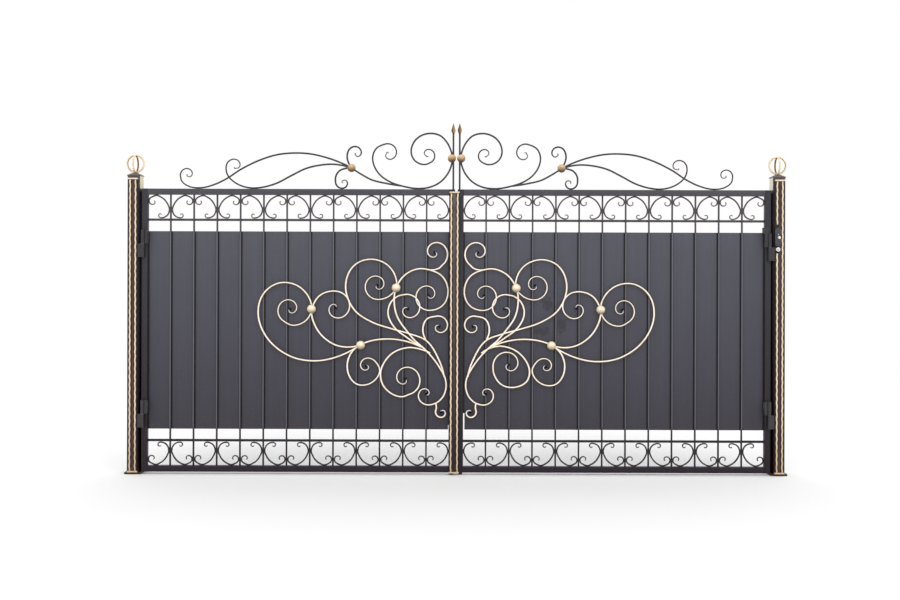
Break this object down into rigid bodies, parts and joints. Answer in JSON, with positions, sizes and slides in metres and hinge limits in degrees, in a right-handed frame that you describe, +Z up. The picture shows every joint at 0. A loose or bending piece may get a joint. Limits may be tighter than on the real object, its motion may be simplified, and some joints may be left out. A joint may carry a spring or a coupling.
{
  "type": "double leaf wrought iron driveway gate",
  "caption": "Double leaf driveway gate: square tube posts with strap globes, sheeted barred leaves with gold scroll ornament, bands of C scrolls and a scrolled crest.",
  "frame": {"origin": "centre of the underside of the left post's base plate, on the ground", "axes": "+X along the gate from the left post to the right post, +Z up, the decorated side faces -Y"},
  "size_m": [4.188, 0.128, 2.22],
  "materials": {
    "graphite_paint": "satin",
    "dark_iron_paint": "satin",
    "hinge_paint": "satin",
    "pale_gold_paint": "satin",
    "dull_gold_paint": "satin",
    "cream_gold_paint": "satin"
  },
  "bodies": {
    "posts": {"left_post": "graphite_paint", "left_post_base": "graphite_paint", "left_post_cap": "graphite_paint", "left_post_finial": "cream_gold_paint", "left_post_pilaster": "graphite_paint", "left_post_gold_trim": "pale_gold_paint", "left_post_hinges": "hinge_paint", "right_post": "graphite_paint", "right_post_base": "graphite_paint", "right_post_cap": "graphite_paint", "right_post_finial": "cream_gold_paint", "right_post_pilaster": "graphite_paint", "right_post_gold_trim": "pale_gold_paint", "right_post_hinges": "hinge_paint", "right_hinge_bracket": "hinge_paint"},
    "left_leaf": {"left_leaf_hinge_stile": "graphite_paint", "left_leaf_meeting_stile": "graphite_paint", "left_leaf_top_rail": "graphite_paint", "left_leaf_bottom_rail": "graphite_paint", "left_leaf_thin_rails": "graphite_paint", "left_leaf_bars": "graphite_paint", "left_leaf_sheet": "graphite_paint", "left_leaf_top_scrolls": "dark_iron_paint", "left_leaf_bottom_scrolls": "dark_iron_paint", "left_leaf_ornament": "pale_gold_paint", "left_leaf_ornament_domes": "pale_gold_paint", "left_leaf_crest": "dark_iron_paint", "left_leaf_crest_balls": "dull_gold_paint", "left_leaf_spear": "dull_gold_paint", "left_leaf_hinges": "hinge_paint", "left_leaf_cover_strip": "graphite_paint", "left_leaf_cover_trim": "pale_gold_paint"},
    "right_leaf": {"right_leaf_hinge_stile": "graphite_paint", "right_leaf_meeting_stile": "graphite_paint", "right_leaf_top_rail": "graphite_paint", "right_leaf_bottom_rail": "graphite_paint", "right_leaf_thin_rails": "graphite_paint", "right_leaf_bars": "graphite_paint", "right_leaf_sheet": "graphite_paint", "right_leaf_top_scrolls": "dark_iron_paint", "right_leaf_bottom_scrolls": "dark_iron_paint", "right_leaf_ornament": "pale_gold_paint", "right_leaf_ornament_domes": "pale_gold_paint", "right_leaf_crest": "dark_iron_paint", "right_leaf_crest_balls": "dull_gold_paint", "right_leaf_spear": "dull_gold_paint", "right_leaf_hinges": "hinge_paint"}
  },
  "joints": [
    {"name": "left_leaf_swing", "type": "hinge", "parent": "posts", "child": "left_leaf", "pos_m": [0.063, -0.057, 0.38], "axis": [0, 0, -1], "range_deg": [0, 90]},
    {"name": "right_leaf_swing", "type": "hinge", "parent": "posts", "child": "right_leaf", "pos_m": [4.007, -0.057, 0.38], "axis": [0, 0, 1], "range_deg": [0, 90]}
  ],
  "couplings": [
    {"joint": "right_leaf_swing", "follows": "left_leaf_swing", "ratio": 1}
  ]
}
